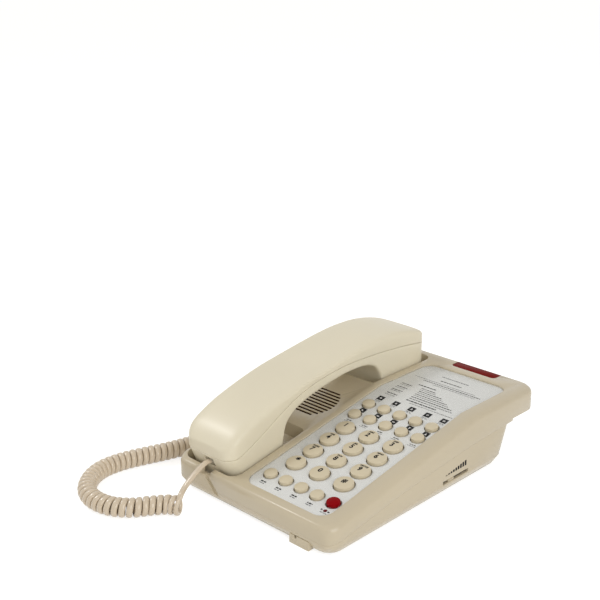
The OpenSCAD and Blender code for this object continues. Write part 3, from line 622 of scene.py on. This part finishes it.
def endFactor(y, s):  # how far a row is drawn in towards a rounded end
    half, r = (s["right"] - s["left"]) / 2, s["corner"]
    d = min(y - s["front"], s["rear"] - y, r)
    return (half - r + math.sqrt(r * r - (r - d) ** 2)) / half


# Each row of a block is drawn in and stretched between two heights
def shapeRows(ob, s, low, high, under, over):
    middle = (s["left"] + s["right"]) / 2
    for y in handsetRows(s):
        a, b = under(y), over(y)
        tall = (b - a) / (high - low)
        pivot = (a - tall * low) / (1 - tall)
        pickWhere(ob, lambda co: near(co.y, y * mm))
        bpy.ops.transform.resize(value=(endFactor(y, s), 1, tall),
                                 center_override=(middle * mm, y * mm, pivot * mm))


# Open block of the shell's rows, columns and levels, without its face at the seam
def startShell(piece, s, low, high, columns, levels, openAt):
    ob = startBlock(piece, (s["left"] * mm, s["front"] * mm, low * mm),
                    (s["right"] * mm, s["rear"] * mm, high * mm))
    middle = (s["left"] + s["right"]) / 2
    cutAcross("y", [y * mm for y in handsetRows(s)[1:-1]])
    cutAcross("x", [(middle + side * x) * mm for x in columns for side in (-1, 1)] + [middle * mm])
    cutAcross("z", [(low + f * (high - low)) * mm for f in levels])
    pickWhere(ob, lambda co: near(co.z, openAt * mm))
    bpy.ops.mesh.delete(type="FACE")
    return ob


def finishShell(ob, s):
    useModifier(ob, "SUBSURF", levels=2, render_levels=2)
    useModifier(ob, "SOLIDIFY", thickness=s["wall"] * mm, offset=-1, use_even_offset=True)
    useModifier(ob, "BEVEL", width=s["seam"] * mm, segments=2, limit_method="ANGLE",
                angle_limit=math.radians(55))


def makeHandset(s):
    middle = (s["left"] + s["right"]) / 2

    def joint(y):
        return onLine(y, s["joint"]) + s["seamGap"]

    def crown(y):
        return min(onLine(y, s["crown"]), s["tallest"])

    def lowerJoint(y):
        return onLine(y, s["joint"]) - s["seamGap"]

    low, high = s["topBlock"]
    columns = [x for x, f in s["section"][:-1]]
    top = startShell("handsetShellTop", s, low, high, columns, s["topLevels"], low)
    for x, f in s["section"]:
        pickWhere(top, lambda co: near(abs(co.x - middle * mm), x * mm) and near(co.z, high * mm))
        bpy.ops.transform.translate(value=(0, 0, (f - 1) * (high - low) * mm))
    shapeRows(top, s, low, high, joint, crown)
    finishShell(top, s)
    dress(smooth(top), finish["handset"], "handset", "handset_ivory", ["handset_top"])

    def under(y):
        floor = (topHeight((y + (s["lean"] if y < -90 else 0)) * mm) - topShape["wellDepth"]) / mm
        first, last = s["arch"][0][0], s["arch"][-1][0]
        if first < y < last:
            return max(floor, float(np.interp(y, *np.array(s["arch"], float).T)))
        return floor

    low, high = s["bottomBlock"]
    bottom = startShell("handsetShellBottom", s, low, high, s["bottomColumns"], s["bottomLevels"], high)
    frontRows = s["front"] + s["endSteps"][-1] + 0.1

    def frontAt(f):
        level = (low + f * (high - low)) * mm
        return listWhere(bottom, lambda co: co.y < frontRows * mm and near(co.z, level))

    leaning = [(f, frontAt(f)) for f in [0] + s["bottomLevels"]]
    pickWhere(bottom, lambda co: near(co.z, low * mm))
    bpy.ops.transform.resize(value=(s["bottomDraw"], 1, 1), center_override=(middle * mm, 0, low * mm))
    shapeRows(bottom, s, low, high, under, lowerJoint)
    for f, picked in leaning:
        pickThese(bottom, picked)
        bpy.ops.transform.translate(value=(0, s["lean"] * (1 - f) * mm, 0))
    finishShell(bottom, s)
    cutters = [plainBlock("recess", *[tuple(v * mm for v in corner) for corner in s["recess"]])]
    ring = [(0, 0)] + [(s["earRing"] * math.cos(a), s["earRing"] * math.sin(a))
                       for a in np.radians(range(0, 360, 60))]
    for x, y in ring:
        cutters.append(plainRound("ear", s["earHole"] * mm, s["earDepth"][0] * mm, s["earDepth"][1] * mm, 20,
                                  ((middle + x) * mm, (s["earPlace"] + y) * mm)))
    for x in s["mouthHoles"]:
        cutters.append(plainRound("mouth", s["mouthHole"] * mm, s["mouthDepth"][0] * mm,
                                  s["mouthDepth"][1] * mm, 20, ((middle + x) * mm, s["mouthPlace"] * mm)))
    for x, y, z in s["screws"]:
        cutters.append(plainRound("screwHole", s["screwHole"] * mm, s["screwFrom"] * mm, z * mm, 24,
                                  (x * mm, y * mm)))
    cutAway(bottom, cutters)
    dress(smooth(bottom), finish["handset"], "handset", "handset_ivory", ["handset_bottom"])
    print("handset shells:", len(top.data.polygons), "and", len(bottom.data.polygons), "faces")


makeHandset(handsetShape)

# Housings: the solids with softened edges, painted shade on the walls of the speaker's slots, and a
# wedge-shaped scale cut over the volume slider
housingShape = {"edge": 0.35 * mm, "jointEdge": 0.35 * mm, "sheetEdge": 0.1 * mm, "keyGap": 0.8,
                "grille": (-42.3 * mm, -5 * mm), "grilleOut": 20.5 * mm,
                "wellLow": (-67.5 * mm, -105 * mm), "wellHigh": (-15 * mm, -42 * mm),
                "wellDown": 12.02 * mm, "wellPlate": 1.9 * mm,
                "bars": 9, "barFirst": 3 * mm, "barPitch": 2.6 * mm, "barWide": 1.9 * mm,
                "barLow": 14.5 * mm, "barShort": 0.6 * mm, "barTall": 3.9 * mm,
                "side": 70 * mm, "deep": 0.3 * mm, "below": 0.04 * mm}


def scaleBars(s, low, high, spare):
    bars = []
    for i in range(s["bars"]):
        y = s["barFirst"] + i * s["barPitch"]
        tall = s["barShort"] + (s["barTall"] - s["barShort"]) * i / (s["bars"] - 1)
        bars.append(plainBlock("bar", (low, y - spare, s["barLow"] - spare),
                               (high, y + s["barWide"] + spare, s["barLow"] + tall + spare)))
    return bars


def openKeyholes(ob, spare):  # the holes get a shadow gap all round their keys
    cutters = []
    for key, size, x, up in allKeys():
        cutter = plainRound("hole", (keyShape[size] + spare) * mm, -6 * mm, 2 * mm, 48)
        cutter.data.transform(onPanel(x, up))
        cutters.append(cutter)
    cutAway(ob, cutters)


# Painted shade: the slot walls in the grille get a dark brown finish that stands in for the shade inside the
# slots
def paintSlotShade(ob, s):  # the walls of the speaker's slots stay dark
    ob.data.materials.append(finish["shade"])
    x, y = s["grille"]
    for face in ob.data.polygons:
        out = math.hypot(face.center.x - x, face.center.y - y)
        if out < s["grilleOut"] and abs(face.normal.z) < 0.75:
            face.material_index = 1


# The solid's own floor ends behind the front well's middle, so a plate closes the well
def frontWellFloor(s):
    (left, front), (right, rear) = s["wellLow"], s["wellHigh"]
    middle, long = (front + rear) / 2, (rear - front) / math.cos(topShape["slope"])
    plate = plainBlock("floorPlate", (left, -long / 2, -s["wellPlate"]), (right, long / 2, 0))
    plate.data.transform(Matrix.Translation((0, middle, topHeight(middle) - s["wellDown"]))
                         @ Matrix.Rotation(topShape["slope"], 4, "X"))
    return plate


def makeHousings(s):
    upper = softCopy("upper_housing", "upperShell", s["edge"])
    openKeyholes(upper, s["keyGap"])
    upper = joined([upper, frontWellFloor(s)], "upperShell")
    dressCopy(upper, "upper_housing")
    paintSlotShade(upper, s)
    for nodeName, piece in (("faceplate_card", "panelCard"), ("faceplate_cover", "panelCover")):
        sheet = softCopy(nodeName, piece, s["sheetEdge"])
        openKeyholes(sheet, s["keyGap"])
        dressCopy(sheet, nodeName)
    lower = softCopy("lower_housing", "lowerShell", s["jointEdge"])
    cutAway(lower, scaleBars(s, s["side"] - s["deep"], s["side"] + 1 * mm, 0))
    dressCopy(lower, "lower_housing")
    marks = joined(scaleBars(s, s["side"] - s["deep"] - 0.2 * mm, s["side"] - s["below"], 0.01 * mm),
                   "volumeMarks")
    dress(marks, finish["ink"], "base")
    print("housings:", len(upper.data.polygons), "and", len(lower.data.polygons), "faces")


# Small parts that only need their edges broken
softParts = {"hook_plunger": ("hookPlunger", 0.35), "line_jack": ("lineJack", 0.2),
             "cord_jack": ("cordJack", 0.2), "rubber_feet": ("rubberFeet", 0.35),
             "lamp_lens": ("messageLamp", 0.4), "handset_jack": ("handsetJack", 0.15)}
for nodeName, (piece, width) in softParts.items():
    dressCopy(softCopy(nodeName, piece, width * mm, 3 if nodeName == "lamp_lens" else 2), nodeName)

knobShape = {"edge": 0.25 * mm, "ribs": 3, "pitch": 1.3 * mm, "wide": 0.5 * mm, "deep": 0.4 * mm}


def makeKnob(s):
    low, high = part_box("volume_slider")
    knob = softCopy("volume_slider", "volumeKnob", s["edge"])
    middle = (low.y + high.y) / 2
    cutters = []
    for i in range(s["ribs"]):
        y = middle + (i - (s["ribs"] - 1) / 2) * s["pitch"]
        cutters.append(plainBlock("rib", (high.x - s["deep"], y - s["wide"] / 2, low.z - mm),
                                  (high.x + mm, y + s["wide"] / 2, high.z + mm)))
    cutAway(knob, cutters)
    dressCopy(knob, "volume_slider")


makeKnob(knobShape)

# Screws with a cross recess in heads that face down
screwShape = {"housing_screws": ("housingScrews", [(61, -99), (61, 58), (-62, -27), (-8, 60)]),
              "handset_screws": ("handsetScrews", [(-42, -64), (-42, 90)])}
crossShape = {"edge": 0.2 * mm, "head": 4 * mm, "long": 1.6 * mm, "wide": 0.45 * mm, "deep": 1 * mm}


def makeScrews(s):
    for nodeName, (piece, places) in screwShape.items():
        screws = softCopy(nodeName, piece, s["edge"])
        cutters = []
        for x, y in places:
            z = min(v.co.z for v in nodes[nodeName].data.vertices
                    if math.hypot(v.co.x - x * mm, v.co.y - y * mm) < s["head"])
            for long, wide in ((s["long"], s["wide"]), (s["wide"], s["long"])):
                cutters.append(plainBlock("slot", (x * mm - long, y * mm - wide, z - mm),
                                          (x * mm + long, y * mm + wide, z + s["deep"])))
        for cutter in cutters:
            cutAway(screws, [cutter])
        dressCopy(screws, nodeName)


makeScrews(crossShape)
print("small parts done")

# Keys: one large and one small are modelled upright at the origin and copied to their places
keyShape = {"dial": 6.45, "small": 4.35, "flangeOut": 0.9, "flangeThick": 1.2, "flangeTop": -3.95,
            "rise": {6.45: 1.7, 4.35: 1.5}, "crown": 0.7, "rim": 0.3, "domeSteps": 7}
keyPlaces = {"dialX": 24.4, "dialY": -68.6, "dialAcross": 20.5, "dialUp": 16,
             "memoryX": 24.8, "memoryUp": 64.7, "memoryAcross": 13.6, "memoryRow": 15,
             "functionX": 25, "functionUp": -17.5, "functionAcross": 13.4}
dialNames = ["1", "2", "3", "4", "5", "6", "7", "8", "9", "star", "0", "hash"]


def domeHeight(d, radius, s=keyShape):  # height of a key's crown at distance d from its middle
    ball = (radius ** 2 + s["crown"] ** 2) / (2 * s["crown"])
    return s["rise"][radius] - ball + math.sqrt(max(ball ** 2 - d ** 2, 0))


def modelKey(name, radius, s=keyShape):
    ob = startRound(name, (radius + s["flangeOut"]) * mm, (s["flangeTop"] - s["flangeThick"]) * mm,
                    s["flangeTop"] * mm, 56)
    pickTop(ob)
    bpy.ops.mesh.inset(thickness=s["flangeOut"] * mm)
    rim = domeHeight(radius - s["rim"], radius)
    shift = (0, 0, (rim - s["rim"] - s["flangeTop"]) * mm)
    bpy.ops.mesh.extrude_region_move(TRANSFORM_OT_translate={"value": shift})
    inner, height = radius, rim - s["rim"]
    steps = [(radius - s["rim"] * (1 - math.cos(a)), rim - s["rim"] * (1 - math.sin(a)))
             for a in np.radians([30, 60, 90])]
    count = s["domeSteps"]
    steps += [(x, domeHeight(x, radius)) for x in (radius - s["rim"]) * (1 - np.arange(1, count) / count)]
    for x, z in steps:
        pickTop(ob)
        bpy.ops.mesh.inset(thickness=(inner - x) * mm)
        bpy.ops.transform.translate(value=(0, 0, (z - height) * mm))
        inner, height = x, z
    bpy.ops.object.mode_set(mode="OBJECT")
    return smooth(ob, 40)


def onPanel(x, up, height=0.0):  # matrix of a place on the panel, up the slope from the lowest dial row
    y = keyPlaces["dialY"] + up * math.cos(topShape["slope"])
    tilt = topShape["slope"] if y < topShape["bend"] / mm else 0
    return (Matrix.Translation((x * mm, y * mm, topHeight(y * mm))) @ Matrix.Rotation(tilt, 4, "X")
            @ Matrix.Translation((0, 0, height * mm)))


def allKeys(p=keyPlaces):
    for i, name in enumerate(dialNames):
        yield ("dial_key_" + name, "dial", p["dialX"] + (i % 3 - 1) * p["dialAcross"],
               (3 - i // 3) * p["dialUp"])
    for i in range(10):
        yield ("memory_key_%d" % (i + 1), "small", p["memoryX"] + (i % 5 - 2) * p["memoryAcross"],
               p["memoryUp"] + (p["memoryRow"] if i < 5 else 0))
    for i in range(5):
        yield ("message_key" if i == 4 else "function_key_%d" % (i + 1), "small",
               p["functionX"] + (i - 2) * p["functionAcross"], p["functionUp"])


legendShape = {"digit": 5.5, "letters": 2.1, "digitPlace": (-0.4, -0.2), "alonePlace": (0, 0.9),
               "lettersPlace": (-0.1, 3.6), "thick": 0.07, "lift": 0.05, "bold": {5.5: 0.14, 2.1: 0.06},
               "letterSets": {"2": "ABC", "3": "DEF", "4": "GHI", "5": "JKL", "6": "MNO", "7": "PQRS",
                              "8": "TUV", "9": "WXYZ"},
               "signs": {"star": "*", "hash": "#"}, "starLarger": 1.4}


def makeText(name, words, size, place, thick, bold):
    bpy.ops.object.select_all(action="DESELECT")
    bpy.ops.object.text_add()
    ob = bpy.context.object
    ob.name = name
    ob.data.body = words
    ob.data.size = size * mm
    ob.data.extrude = thick * mm
    ob.data.offset = bold * mm
    ob.data.align_x = "CENTER"
    ob.data.align_y = "CENTER"
    ob.data.resolution_u = 3
    bpy.ops.object.convert(target="MESH")
    ob = bpy.context.object
    ob.data.transform(Matrix.Translation((place[0] * mm, place[1] * mm, 0)))
    return ob


def makeLegend(key, name, place, s=legendShape):
    sign = s["signs"].get(name, name)
    big = s["digit"] * (s["starLarger"] if name == "star" else 1)
    spot = s["digitPlace"] if name in s["letterSets"] else s["alonePlace"]
    parts = [makeText("sign", sign, big, spot, s["thick"], s["bold"][s["digit"]])]
    if name in s["letterSets"]:
        parts.append(makeText("letters", s["letterSets"][name], s["letters"], s["lettersPlace"], s["thick"],
                              s["bold"][s["letters"]]))
    legend = joined(parts, key + "Legend")
    for v in legend.data.vertices:  # the print follows the crown
        v.co.z += (domeHeight(math.hypot(v.co.x, v.co.y) / mm, keyShape["dial"]) + s["lift"]) * mm
    legend.data.transform(place)
    dress(legend, finish["ink"], nodes[key]["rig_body"])


def makeKeys():
    patterns = {"dial": modelKey("dialPattern", keyShape["dial"]),
                "small": modelKey("smallPattern", keyShape["small"])}
    for key, size, x, up in allKeys():
        place = onPanel(x, up)
        words = key.split("_")
        ob = bpy.data.objects.new(words[0] + "Cap" + words[-1].capitalize(), patterns[size].data.copy())
        scene.collection.objects.link(ob)
        ob.data.transform(place)
        slot = nodeSlot[key]
        dress(ob, finish[slotFinish[slot]], nodes[key]["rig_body"], slot, [key])
        if size == "dial":
            makeLegend(key, words[-1], place)
    for pattern in patterns.values():
        bpy.data.objects.remove(pattern)
    print("keys and legends done")


makeHousings(housingShape)
makeKeys()

# Panel print: generic pictograms beside the keys, ruled lines in place of words
printShape = {"height": -1.2, "thick": 0.03, "square": 5.0, "figure": 0.62, "upperOffset": (1.5, 11.3),
              "lowerOffset": (0.9, 7.3), "seed": 7, "dash": (0.8, 2.6), "dashGap": 0.45, "dashEnd": 0.5,
              "dot": (0.4, -8.0), "dotRadius": 1.35, "dotRise": 0.02, "figureRise": 0.03,
              # rows by a key: ink, shift across, shift up, width, height
              "upperRows": [("black", -2.2, -3.6, 4.6, 0.6), ("grey", -2.6, -4.8, 5.6, 0.35)],
              "lowerRows": [("black", -1.2, -7.0, 4.8, 0.8), ("grey", -2.2, -8.6, 6.6, 0.45)],
              "functionRows": [("black", -1.1, -7.9, 4.4, 1.1), ("grey", -1.1, -9.6, 4.4, 0.6)],
              "messageRows": [("black", -3.1, -8.0, 1.6, 1.1), ("black", 2.3, -8.0, 1.8, 1.1),
                              ("grey", -2.0, -10.2, 5.2, 0.6)],
              # ruled lines: left end, place along the phone, width, height, ink
              "lines": [(10.3, 77, 23.2, 0.9, "grey"), (14, 70.2, 18, 1.0, "black"),
                        (-5.5, 65.6, 52, 0.5, "grey"), (4, 63, 49, 0.9, "black"),
                        (14, 60.6, 36, 0.5, "grey"), (6.5, 54.2, 15.5, 1.1, "black"),
                        (-4, 48.6, 9, 0.9, "black"), (-4, 46.4, 8, 0.5, "grey"),
                        (-3.4, 42.2, 9, 0.9, "black"), (-3.4, 40, 8.4, 0.5, "grey"),
                        (-2.8, 36, 9, 0.9, "black"), (-2.8, 33.8, 8.4, 0.5, "grey"),
                        (-2.6, 29.8, 9, 0.9, "black"), (-2.6, 27.6, 8.8, 0.5, "grey"),
                        (12.4, 50, 12.6, 0.9, "black"), (12.8, 47.4, 13.4, 0.6, "black"),
                        (14, 44.8, 20, 0.9, "black"), (14.4, 42.2, 22, 0.6, "black"),
                        (15, 39.4, 27, 0.9, "black"), (15.4, 36.8, 30, 0.6, "black"),
                        (15.8, 34, 34, 0.9, "black"), (16, 31.4, 36, 0.6, "black"),
                        (15.4, 28.8, 26, 1.1, "black"), (20, 26.4, 36, 0.5, "grey")]}


def printBar(x, up, wide, tall, rise=0.0):
    bar = plainBlock("bar", (-wide / 2 * mm, -tall / 2 * mm, 0),
                     (wide / 2 * mm, tall / 2 * mm, printShape["thick"] * mm))
    bar.data.transform(onPanel(x, up, printShape["height"] + rise))
    return bar


# A row of short dashes, as a line of small print looks from afar
def ruledLine(dice, x, up, wide, tall, s=printShape):
    bars, left = [], x
    while left < x + wide - s["dashEnd"]:
        dash = min(dice.uniform(*s["dash"]), x + wide - left)
        bars.append(printBar(left + dash / 2, up, dash, tall))
        left += dash + s["dashGap"]
    return bars


def printDisc(x, up, radius, rise=0.0):
    disc = plainRound("disc", radius * mm, 0, printShape["thick"] * mm, 24)
    disc.data.transform(onPanel(x, up, printShape["height"] + rise))
    return disc


# One white figure on each dark square: discs (place, radius) and bars (place, size)
figureShapes = [
    [("disc", 0, 0, 1.3)],
    [("bar", 0, 0, 2.6, 0.8), ("bar", 0, 0, 0.8, 2.6)],
    [("bar", 0, -0.9, 2.8, 0.8), ("disc", 0, 0.7, 0.9)],
    [("bar", -0.8, 0, 0.7, 2.8), ("bar", 0.8, 0, 0.7, 2.8)],
    [("bar", 0, 0.9, 2.8, 0.6), ("bar", 0, -0.9, 2.8, 0.6), ("bar", 0, 0, 2.8, 0.6)],
    [("disc", -0.8, 0.6, 0.8), ("bar", 0.3, -0.8, 2.4, 0.8)],
    [("bar", 0, 0, 3, 1.6)],
    [("disc", -0.8, 0, 0.8), ("disc", 0.8, 0, 0.8)],
    [("bar", 0, -0.6, 0.9, 2), ("bar", 0, 1, 2.8, 0.8)],
    [("disc", 0, -0.7, 1), ("bar", 0, 1, 0.9, 1.2)],
]


def pictogram(figure, x, up, s=printShape):
    f = s["figure"]
    return [(printDisc if kind == "disc" else printBar)(
        x + f * across, up + f * along, *[f * v for v in size], s["figureRise"])
        for kind, across, along, *size in figure]


def makePrint(s):
    dice = random.Random(s["seed"])
    marks = {"black": [], "grey": [], "white": []}

    def addRows(rows, x, up):
        for ink, across, along, wide, tall in rows:
            marks[ink] += ruledLine(dice, x + across, up + along, wide, tall)

    for i, (key, size, x, up) in enumerate(allKeys()):
        if key.startswith("memory"):
            number = i - len(dialNames)
            dx, du = s["upperOffset"] if number < 5 else s["lowerOffset"]
            marks["black"].append(printBar(x + dx, up + du, s["square"], s["square"]))
            marks["white"] += pictogram(figureShapes[number], x + dx, up + du)
            if number < 5:
                addRows(s["upperRows"], x + dx, up + du)
            else:
                addRows(s["lowerRows"], x, up)
        elif key.startswith("function"):
            addRows(s["functionRows"], x, up)
        elif key == "message_key":
            addRows(s["messageRows"], x, up)
            dot = printDisc(x + s["dot"][0], up + s["dot"][1], s["dotRadius"], s["dotRise"])
            dress(dot, finish["redInk"], "base")
            dot.name = "messageDot"
    for left, y, wide, tall, ink in s["lines"]:
        up = (y - keyPlaces["dialY"]) / math.cos(topShape["slope"])
        marks[ink] += ruledLine(dice, left, up, wide, tall)
    for ink, name, paint in (("black", "panelPrintBlack", "ink"), ("grey", "panelPrintGrey", "paleInk"),
                             ("white", "panelPrintWhite", "whiteInk")):
        dress(joined(marks[ink], name), finish[paint], "base")
    print("panel print:", *[len(pieces) for pieces in marks.values()], "marks")


makePrint(printShape)

# Stage: pale floor that keeps the shadow, white surroundings, a soft lamp at the left and one at the right
stageSettings = {"floor": 60.0, "floorTone": 0.94, "floorGlow": 1.8, "glowShare": 0.42,
                 "worldLight": 0.48, "worldColour": (1.0, 0.96, 0.88, 1),
                 "lampSize": 0.4, "lampPlace": (-1.05, -0.46, 1.17), "lampPower": 6.8,
                 "fillSize": 1.2, "fillPlace": (1.45, -0.6, 0.85), "fillPower": 13.5}


def seenRays(board):  # 1 for what the camera, a gloss or a clear sheet sees straight
    rays = [board.node("ShaderNodeLightPath", output=name) for name in
            ("Is Camera Ray", "Is Glossy Ray", "Is Transmission Ray")]
    return board.node("ShaderNodeMath", {"operation": "MAXIMUM"}, {
        0: board.node("ShaderNodeMath", {"operation": "MAXIMUM"}, {0: rays[0], 1: rays[1]}), 1: rays[2]})


def addLamp(name, size, place, power):
    bpy.ops.object.light_add(type="AREA", location=place)
    lamp = bpy.context.object
    lamp.name = name
    lamp.data.size = size
    lamp.data.energy = power
    lamp.rotation_euler = (-Vector(place)).to_track_quat("-Z", "Y").to_euler()


def makeStage(s):
    bpy.ops.object.select_all(action="DESELECT")
    bpy.ops.mesh.primitive_plane_add(size=s["floor"])
    floor = bpy.context.object
    floor.name = "floor"
    material = bpy.data.materials.new("floorPale")
    material.use_nodes = True
    board = NodeBoard(material.node_tree)
    material.node_tree.nodes.remove(material.node_tree.nodes["Principled BSDF"])
    tone = s["floorTone"]
    matte = board.node("ShaderNodeBsdfDiffuse", None, {"Color": (tone, tone, tone, 1)})
    glow = board.node("ShaderNodeEmission", None, {"Strength": s["floorGlow"]})
    mixed = board.node("ShaderNodeMixShader", None, {0: seenRays(board) * s["glowShare"], 1: matte, 2: glow})
    board.feed(material.node_tree.nodes["Material Output"], "Surface", mixed)
    floor.data.materials.append(material)
    world = bpy.data.worlds.new("studio")
    world.use_nodes = True
    scene.world = world
    board = NodeBoard(world.node_tree)
    light = board.node("ShaderNodeBackground", None,
                       {"Color": s["worldColour"], "Strength": s["worldLight"]})
    white = board.node("ShaderNodeBackground", None, {"Color": (1, 1, 1, 1), "Strength": 1})
    mixed = board.node("ShaderNodeMixShader", None, {0: seenRays(board), 1: light, 2: white})
    board.feed(world.node_tree.nodes["World Output"], "Surface", mixed)
    addLamp("overheadLamp", s["lampSize"], s["lampPlace"], s["lampPower"])
    addLamp("fillLamp", s["fillSize"], s["fillPlace"], s["fillPower"])
    print("stage set")


makeStage(stageSettings)
